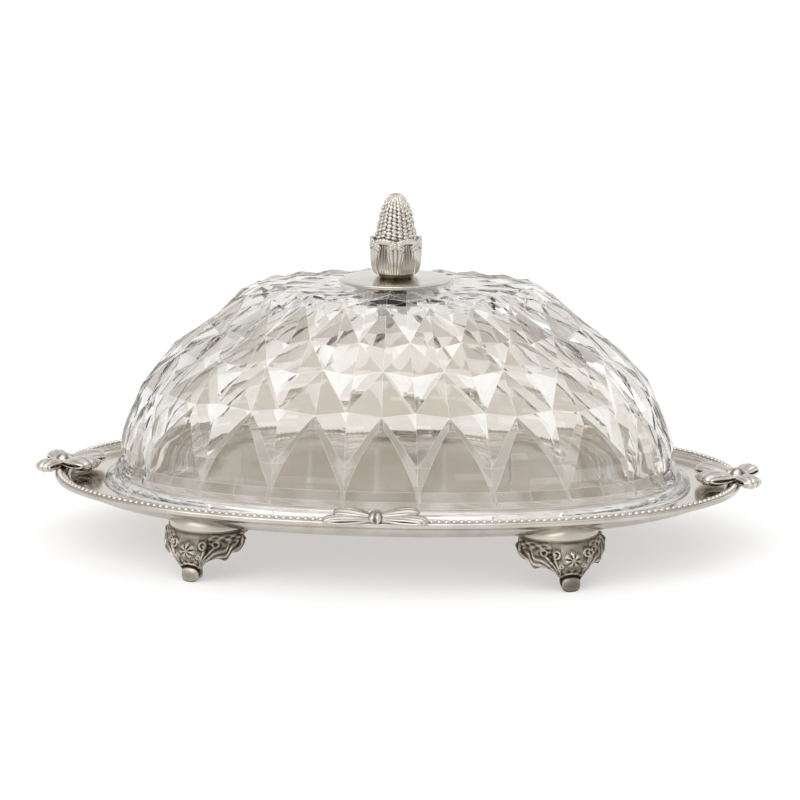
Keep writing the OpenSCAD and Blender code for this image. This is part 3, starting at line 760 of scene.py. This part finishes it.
def dome_ring(height, inset, rise, shares):
    """A ring of the wall: half sizes go from the base's to the top ring's by inset, height is a
    share of the dome's, and rise moves it along the wall's slope of 20 + 60 height degrees."""
    slope = math.radians(20 + 60 * height)
    out, up = rise * math.cos(slope), rise * math.sin(slope)
    flat_ring = oval(
        dome_x + (top_r - dome_x) * inset + out,
        dome_y + (top_r - dome_y) * inset + out,
        dome_power + (2 - dome_power) * min(height, 1),
        shares,
    )
    return np.append(flat_ring, np.full((len(flat_ring), 1), glass_z + dome_h * height + up), 1)


def plain_ring(half_x, half_y, power, z, shares):
    """A level oval at the height z."""
    flat_ring = oval(half_x, half_y, power, shares)
    return np.append(flat_ring, np.full((len(flat_ring), 1), z), 1)


def alternate(height, inset, low, high, low_first):
    """A ring that steps between two rises, one point each, twice a column."""
    first = (np.arange(2 * columns) % 2 == 0) == low_first
    return np.where(first[:, None], dome_ring(height, inset, low, even), dome_ring(height, inset, high, even))


def column_shares(offsets):
    """Shares of the way round at the same places in every column."""
    return ((np.arange(columns)[:, None] + np.asarray(offsets)) / columns).ravel()


def arch_width(t):
    """Half widths of an arch a share t of the way down, in columns: its outer edge is
    0.5 (t / 0.67) ^ 0.87, so two arches meet under each diamond's tip, and the inner edge of
    its bevelled border is 0.47 ((t - 0.17) / 0.83) ^ 0.69."""
    return min(0.5 * (t / 0.67) ** 0.87, 0.5), 0.47 * max((t - 0.17) / 0.83, 0.0) ** 0.69


def arch_place(t):
    """Height and inset a share t of the way down the arches: the height falls evenly, and the
    inset goes by sin(90 t degrees), so the wall bulges there."""
    return levels[1] + (levels[0] - levels[1]) * [t, math.sin(math.pi / 2 * t)]


def arch_ring(t):
    """A level of the arches' heads: the diamond's crease, then the arch's outer edge, inner
    edge, middle, inner edge and outer edge."""
    edge, border = arch_width(t)
    shares = column_shares([-0.5, -edge, -border, 0, border, edge])
    place = np.tile([0, 1, 2, 2, 2, 1], columns)[:, None]
    rises = (diamond_rise * (1 - t / 0.67), 0, pane_rise)
    high, low, mid = (dome_ring(*arch_place(t), rise, shares) for rise in rises)
    return np.where(place == 0, high, np.where(place == 1, low, mid))


def skirt_ring(height, inset, border, rise):
    """A level where neighbouring arches share a seam: the seam, inner edge, middle, inner edge."""
    shares = column_shares([-0.5, -border, 0, border])
    seam = np.tile([1, 0, 0, 0], columns)[:, None] == 1
    return np.where(seam, dome_ring(height, inset, 0, shares), dome_ring(height, inset, rise, shares))


n2, n4, n6, n12 = 2 * columns, 4 * columns, 6 * columns, 12 * columns
stops = np.array([-0.5, -0.47, 0, 0.47, 0.5])
fine_shares = column_shares((stops[:-1, None] + np.diff(stops)[:, None] * [0, 1 / 3, 2 / 3]).ravel())
upper = [
    plain_ring(top_r, top_r, 2, glass_top_z, even),
    alternate(*levels[5], 0.3 * diamond_rise, -0.0004, True),
    alternate(*levels[4], 0, diamond_rise, False),
    alternate(*levels[3], 0, diamond_rise, True),
    alternate(*levels[2], 0, diamond_rise, False),
    alternate(*levels[1], 0, diamond_rise, True),
]
arches = [arch_ring(t) for t in (0.20, 0.26, 0.33, 0.41, 0.49, 0.58)]
skirt = [
    skirt_ring(*arch_place(t), arch_width(t)[1], rise)
    for t, rise in [(0.67, 0.0017), (0.75, 0.0016), (0.83, 0.0014), (0.91, 0.0011), (1.0, 0.0008)]
] + [skirt_ring(0.075, -0.006, 0.47, 0.0007)]
flange = smooth_path(
    np.array(
        [[0.9, 5.2], [1.4, 4.2], [2.2, 3.2], [3.4, 2.4], [5.0, 1.9], [6.6, 1.6], [7.5, 1.3], [7.9, 0.9], [8.0, 0.6],
         [7.9, 0.2], [7.6, 0.0], [4.0, 0.0], [-1.0, 0.0], [-4.4, 0.0], [-4.9, 0.35]]
    ) / 1000,
    2,
)
rim_rings = [plain_ring(dome_x + out, dome_y + out, dome_power, glass_z + up, fine_shares) for out, up in flange]
inside = smooth_path(
    np.array(
        [[0.03, -0.003], [0.12, 0.015], [0.30, 0.066], [0.47, 0.13], [0.65, 0.27], [0.77, 0.42], [0.87, 0.55],
         [0.94, 0.66]]
    ),
    5,
)
hollow = [dome_ring(height, inset, -glass_wall, fine_shares) for height, inset in inside]
roof = [plain_ring(share * 0.0600, share * 0.0440, 2, roof_z, fine_shares) for share in (1.0, 0.75)]
hole = [plain_ring(stud_hole_r, stud_hole_r, 2, z, fine_shares) for z in (roof_z, glass_top_z)]
body_rings = [*upper, *arches, *skirt, *rim_rings, *hollow, *roof, *hole]
starts = np.append(0, np.cumsum([len(ring) for ring in body_rings]))
dome_points = np.concatenate(body_rings)


def band(p, q, n):
    """Quads between two rings of n points that start at p above and q below."""
    i, j = np.arange(n), (np.arange(n) + 1) % n
    return np.stack([p + i, p + j, q + j, q + i], -1)


def diamonds(row):
    """Two triangles between neighbouring corner rings, split along the line between two corners."""
    i = np.arange(n2)
    a, b = starts[row] + i, starts[row] + (i + 1) % n2
    d, c = a + n2, b + n2
    odd = ((i + row) % 2 == 1)[:, None]
    return np.concatenate([np.where(odd, np.stack([a, b, d], -1), np.stack([a, b, c], -1)),
                           np.where(odd, np.stack([b, c, d], -1), np.stack([a, c, d], -1))])


def join(*corners):
    """Faces from a column of point numbers for each corner."""
    return np.stack(np.broadcast_arrays(*corners), -1)


# The arches' heads hang from the stars of the last row of diamonds.
column = np.arange(columns)
star_ring, arch_ring_0, arch_ring_last, seam_ring = starts[[5, 6, 5 + len(arches), 6 + len(arches)]]
left, star, right = star_ring + (2 * column - 1) % n2, star_ring + 2 * column, star_ring + 2 * column + 1
a, after = arch_ring_0 + 6 * column, arch_ring_0 + (6 * column + 6) % n6
heads = [join(left, star, a + 1), join(left, a + 1, a), join(star, a + 2, a + 1), join(star, a + 3, a + 2),
         join(star, a + 4, a + 3), join(star, a + 5, a + 4), join(star, right, a + 5), join(right, after, a + 5)]

# Their sides end where neighbours meet in a seam, and four panes go on down from there.
a, after = arch_ring_last + 6 * column, arch_ring_last + (6 * column + 6) % n6
s, tip = seam_ring + 4 * column, seam_ring + (4 * column + 4) % n4
side_tips = [join(a, a + 1, s), join(a + 5, after, tip)]
panes = [join(a + 1, a + 2, s + 1, s), join(a + 2, a + 3, s + 2, s + 1),
         join(a + 3, a + 4, s + 3, s + 2), join(a + 4, a + 5, tip, s + 3)]

# Three points of the flange's finer ring follow each point of the skirt's.
j = np.arange(n4)
last_seam = seam_ring + (len(skirt) - 1) * n4
rim_ring = last_seam + n4
p, q = last_seam + j, last_seam + (j + 1) % n4
f, f_end = rim_ring + 3 * j, rim_ring + (3 * j + 3) % n12
spread_faces = [join(p, q, f_end), join(p, f_end, f + 2), join(p, f + 2, f + 1), join(p, f + 1, f)]

# The flat top joins the first ring to the stud's hole, six points of the hole to each of its own.
i, beside = np.arange(n2), (np.arange(n2) + 1) % n2
hole_ring = starts[len(body_rings) - 1]
lid = [join(beside, i, hole_ring + 6 * i)]
lid += [join(beside, hole_ring + 6 * i + m, hole_ring + (6 * i + m + 1) % n12) for m in range(6)]

# Each group of faces with its painted shade, from 0, clear, to 1, the deepest: painted shade and reflection, a brown
# tint in place of the dim tray seen through the facets.
first_rim = 6 + len(arches) + len(skirt)
pane_painted_shade = [1, 1, 1, 0.9, 0.75]
faces_with_painted_shade = (
    [(diamonds(row), np.repeat([0.10, 0.22] if row < 2 else [0.18, 1.0], n2)) for row in range(5)]
    + [(group, np.full(columns, tone)) for group, tone in zip(heads, [0.05, 0.05, 0.25, 1, 1, 0.25, 0.05, 0.05])]
    + [(band(arch_ring_0 + r * n6, arch_ring_0 + (r + 1) * n6, n6), np.tile([0.05, 0.25, 1, 1, 0.25, 0.05], columns))
       for r in range(len(arches) - 1)]
    + [(group, np.full(columns, 0.05)) for group in side_tips]
    + [(group, np.full(columns, tone)) for group, tone in zip(panes, [0.25, 1, 1, 0.25])]
    + [(band(seam_ring + r * n4, seam_ring + (r + 1) * n4, n4), np.tile([0.25, tone, tone, 0.25], columns))
       for r, tone in enumerate(pane_painted_shade)]
    + [(group, np.full(n4, 0.2)) for group in spread_faces]
    + [(band(starts[r], starts[r + 1], n12), np.zeros(n12)) for r in range(first_rim, len(body_rings) - 1)]
    + [(group, np.zeros(n2)) for group in lid]
)
dome_faces = [group for group, _ in faces_with_painted_shade]
# The painted shade fades towards the oval's ends, and differs from facet to facet.
facet_painted_shade = np.concatenate([tone for _, tone in faces_with_painted_shade])
middles = np.concatenate([dome_points[f].mean(1) for f in dome_faces])
sideways = np.abs(middles[:, 1] / dome_y) / np.hypot(middles[:, 0] / dome_x, middles[:, 1] / dome_y)
facet_painted_shade = facet_painted_shade * (0.45 + 0.55 * sideways)
facet_painted_shade = np.where(facet_painted_shade > 0, facet_painted_shade + 0.22 * np.random.default_rng(5).standard_normal(len(facet_painted_shade)) * (facet_painted_shade > 0.3), 0)


def let_lamps_through(mix, shader):
    """Ends a glass: the lamps' shadow rays meet a clear pane in place of its shader."""
    lamp_ray = mix.node("LightPath", {}, {}, "Is Shadow Ray")
    passing = mix.node("BsdfTransparent", {}, {"Color": (0.92, 0.92, 0.91, 1)})
    mix.surface(mix.node("MixShader", {}, {0: lamp_ray, 1: shader, 2: passing}))


pressed_glass = bpy.data.materials.new("clear_pressed_glass")
mix = Mix(pressed_glass)
place = mix.place()
ripple = mix.noise(place, 55.0, 2.0, 0.5)
skin = mix.noise(place, 240.0, 2.0, 0.5)
relief = mix.bump(skin, 0.000008, mix.bump(ripple, 0.00010))
# Painted shade and reflection: depth, from each facet's painted shade and the ripple, turns the clear tint to brown.
tone = mix.node("Attribute", {"attribute_name": "tone"}, {}, "Fac")
depth = mix.spread(tone + 0.5 * (ripple - 0.5), 0.0, 1.0, 0.0, 1.0)
shader = mix.node(
    "BsdfPrincipled",
    {},
    {
        "Base Color": mix.blend(depth, (0.945, 0.937, 0.92, 1), (0.56, 0.515, 0.45, 1)),
        "Roughness": mix.spread(ripple, 0.3, 0.7, 0.02, 0.06),
        "Transmission Weight": 1.0,
        "IOR": 1.40,
        "Normal": relief,
    },
)
let_lamps_through(mix, shader)
dome = make_piece(
    "dome_pressing", [(dome_points, dome_faces)], "dome", pressed_glass, ["glass_dome"], painted_shades=facet_painted_shade
)

# The facets' edges are rounded by the fire polish. Their pale, half-clouded glass is a painted highlight, a light line
# along each edge.
facet_edge = bpy.data.materials.new("fire_polished_edge_painted_highlight")
mix = Mix(facet_edge)
place = mix.place()
ripple = mix.noise(place, 90.0, 2.0)
shader = mix.node(
    "BsdfPrincipled",
    {},
    {
        "Base Color": mix.blend(ripple, (0.90, 0.90, 0.89, 1), (0.97, 0.97, 0.965, 1)),
        "Roughness": 0.06 + 0.1 * ripple,
        "Transmission Weight": 0.55,
        "IOR": 1.5,
    },
)
let_lamps_through(mix, shader)
dome.data.materials.append(facet_edge)
facet_angle = math.radians(5)
dome.data.set_sharp_from_angle(angle=facet_angle)
soft_edges = dome.modifiers.new("soft_edges", "BEVEL")
soft_edges.width, soft_edges.segments, soft_edges.limit_method = 0.00038, 2, "ANGLE"
soft_edges.angle_limit, soft_edges.material = facet_angle, 1
soft_edges.use_clamp_overlap = soft_edges.harden_normals = True


# ---- Finial plate ----
# A turned disc, mirror polished, that rises in a soft swell to the finial's neck. It is clamped
# between the finial and the glass.
plate = np.array(
    [[2.7, 147.95], [29.6, 147.95], [30.1, 148.0], [30.45, 148.3], [30.5, 148.7], [30.35, 149.1], [29.9, 149.25],
     [28.2, 149.38], [26.5, 149.50], [22.0, 149.58], [17.0, 149.78], [13.0, 150.1], [10.5, 150.5], [9.2, 150.75],
     [2.7, 150.75]]
) / 1000
disc_skin = lathe_skin(smooth_path(plate, 3), (0, 0, 0), 160)
make_piece("finial_disc", [disc_skin], "dome", mirror_nickel, ["finial_plate"])


# ---- Finial ----
# A cast and plated cone of seed kernels that rises from a cup of six ribbed leaves and, behind
# them, six broad ones, whose tips fold outwards. It is tapped from below for the stud.
finial_z, finial_h, finial_r = 0.14955, 0.0475, 0.0145
core = np.array(
    [[0.2, 0.0], [0.66, 0.0], [0.62, 0.050], [0.64, 0.085], [0.66, 0.16], [0.68, 0.30], [0.77, 0.37], [0.81, 0.41],
     [0.79, 0.48], [0.73, 0.58], [0.63, 0.71], [0.50, 0.83], [0.36, 0.92], [0.22, 0.970], [0.06, 0.988]]
) * [finial_r, finial_h]


def cone_skin():
    """Kernels on a lathe: the cone's radius at a height, plus the height of a round cap
    sqrt(1 - 0.9 dx^2 - 0.8 dz^2) at the nearest kernel centre. The rows go up the cone, every
    other one about half a kernel higher, and near the tip they run together into ribs."""
    line = smooth_path(core[6:], 60)
    run = np.append(0, np.cumsum(np.hypot(*np.diff(line, axis=0).T)))
    want = np.linspace(0, run[-1], 170)[:, None]
    r, z = np.interp(want, run, line[:, 0]), np.interp(want, run, line[:, 1])
    cone_columns, rows, kernel_height, kernel_rise, kernel_sink = 272, 20, 0.0021, 0.00125, 0.0007
    turn = 2 * np.pi * np.arange(cone_columns)[None] / cone_columns
    row = turn * rows / (2 * np.pi) + 0.5
    dx = 2 * (row % 1 - 0.5)
    step = want / kernel_height + 0.5 * (np.floor(row) % 2) + 0.3 * np.sin(5.3 * np.floor(row))
    dz = 2 * (step % 1 - 0.5)
    size = 0.80 + 0.5 * np.sin(12.9 * np.floor(row) + 78.2 * np.floor(step))
    fade = np.clip((run[-1] - want) / 0.012, 0, 1)
    cap = np.sqrt(np.clip(1 - 0.9 * dx**2 - 0.8 * dz**2 * fade, 0, 1))
    tip_fade = np.clip((run[-1] - want) / 0.003, 0, 1)
    r = np.clip(r + (kernel_rise * cap * size - kernel_sink) * (0.3 + 0.7 * fade) * tip_fade, 0.0001, None)
    grid = np.stack([r * np.sin(turn), -r * np.cos(turn), z + finial_z + 0 * turn], -1)
    wear = np.clip(1.1 - 1.6 * cap, 0, 1) * (0.4 + 0.6 * fade)
    return tube_skin(grid), np.append(wear.ravel(), [0, 0])


def leaf_skin(middle, back):
    """A leaf of the cup: up its height v the radius follows the cup and then folds outwards and
    down at the tip. A front leaf is narrow at its base and fans out in five ribs; a back leaf is
    broad and hollowed like a spoon, with a rolled edge."""
    v = np.linspace(0, 1, 38)[:, None]
    u = np.linspace(-1, 1, 41)[None]
    spine = smooth_path(
        # shares of the finial's radius and height
        np.array(
            [[0.60, 0.060], [0.76, 0.070], [0.87, 0.115], [0.92, 0.19], [0.935, 0.28], [0.91, 0.36], [0.90, 0.405],
             [0.93, 0.435], [0.965, 0.425], [0.965, 0.385]]
        ),
        8,
    )
    place = np.linspace(0, 1, len(spine))
    r, z = np.interp(v, place, spine[:, 0]) * finial_r, np.interp(v, place, spine[:, 1]) * finial_h
    if back:
        half = np.radians(31 + 0 * v)
        scoop = np.clip(1 - u**2, 0, 1) ** 0.8 * np.sin(np.pi * np.clip((v - 0.12) / 0.72, 0, 1))
        r = r - 0.0003 - 0.0014 * scoop + 0.0005 * ridge(np.abs(u) - 0.5, 0.10) * np.clip(v * 3, 0, 1)
        r = r + 0.00018 * np.cos(7 * np.pi * u) * np.clip(v * 2, 0, 1)
        z = z + (0.0020 - 0.0022 * u**2) * np.clip((v - 0.5) / 0.3, 0, 1)
        wear = 0.50 * scoop**2 + 0.15 - 0.10 * np.cos(7 * np.pi * u) * np.clip(v * 2, 0, 1)
    else:
        half = np.radians(10 + 13 * np.clip(v / 0.62, 0, 1) ** 1.3 - 5 * np.clip((v - 0.7) / 0.3, 0, 1) ** 2)
        ribs = np.cos(4 * np.pi * u) * (0.5 + 0.5 * np.sin(np.pi * np.clip(v / 0.9, 0, 1)))
        ruffle = 0.0002 * np.sin(60 * v) * np.clip((v - 0.6) / 0.1, 0, 1)
        r = r + 0.0005 + 0.0005 * ribs - 0.0009 * np.abs(u) ** 4 + ruffle
        z = z - 0.0030 * np.abs(u) ** 1.5 * np.clip((v - 0.5) / 0.5, 0, 1)
        wear = np.clip(0.45 - 0.6 * np.cos(4 * np.pi * u), 0, 1) * (1.1 - v)
    angle = middle + half * u
    surface = np.stack([r * np.sin(angle), -r * np.cos(angle), z + finial_z + 0 * u], -1)
    # The half thickness is negative because the surface's normal points into the cup.
    rings = thicken(surface, -0.00055 * (1 - 0.6 * np.abs(u[..., None]) ** 8))
    rings[..., 2] = np.maximum(rings[..., 2], finial_z + 0.0004)
    return tube_skin(rings), np.append(both_sides(np.clip(wear, 0, 1)), [0.5, 0.2])


cone, cone_wear = cone_skin()
cup_points, cup_faces = lathe_skin(smooth_path(core[:9], 3) + [0, finial_z], (0, 0, 0))
leaves = [leaf_skin(math.radians(30 * n + 4), n % 2 == 1) for n in range(12)]
cast_nickel = nickel(
    "cast_nickel",
    (0.66, 0.62, 0.565, 1),
    (0.56, 0.52, 0.465, 1),
    0.16,
    0.12,
    streak=(400.0, 400.0, 400.0),
    wave=0.00004,
    tarnish=(0.13, 0.105, 0.08, 1),
)
make_piece(
    "finial_casting",
    [cone, (cup_points, cup_faces), *(leaf for leaf, _ in leaves)],
    "dome",
    cast_nickel,
    ["finial"],
    worn=np.concatenate([cone_wear, np.full(len(cup_points), 0.9), *(wear for _, wear in leaves)]),
)


# ---- Stud, washer and nut ----
# A steel stud goes up through the glass and the plate into the finial. A washer and a domed nut
# under the glass's roof pull the three together.
refinish(["finial_stud", "stud_washer", "cap_nut"], turned_steel)


# ---- Gaskets ----
# Two cut rings of soft white seal keep the plate and the washer off the glass. They are held by
# the stud's pull alone.
soft_seal = bpy.data.materials.new("soft_white_seal")
mix = Mix(soft_seal)
place = mix.place()
cloud = mix.noise(place, 300.0, 3.0)
shader = mix.node(
    "BsdfPrincipled",
    {},
    {
        "Base Color": mix.blend(cloud, (0.70, 0.69, 0.66, 1), (0.78, 0.77, 0.74, 1)),
        "Roughness": 0.45 + 0.2 * cloud,
        "Normal": mix.bump(cloud, 0.00003),
    },
)
mix.surface(shader)
refinish(["upper_gasket", "lower_gasket"], soft_seal)
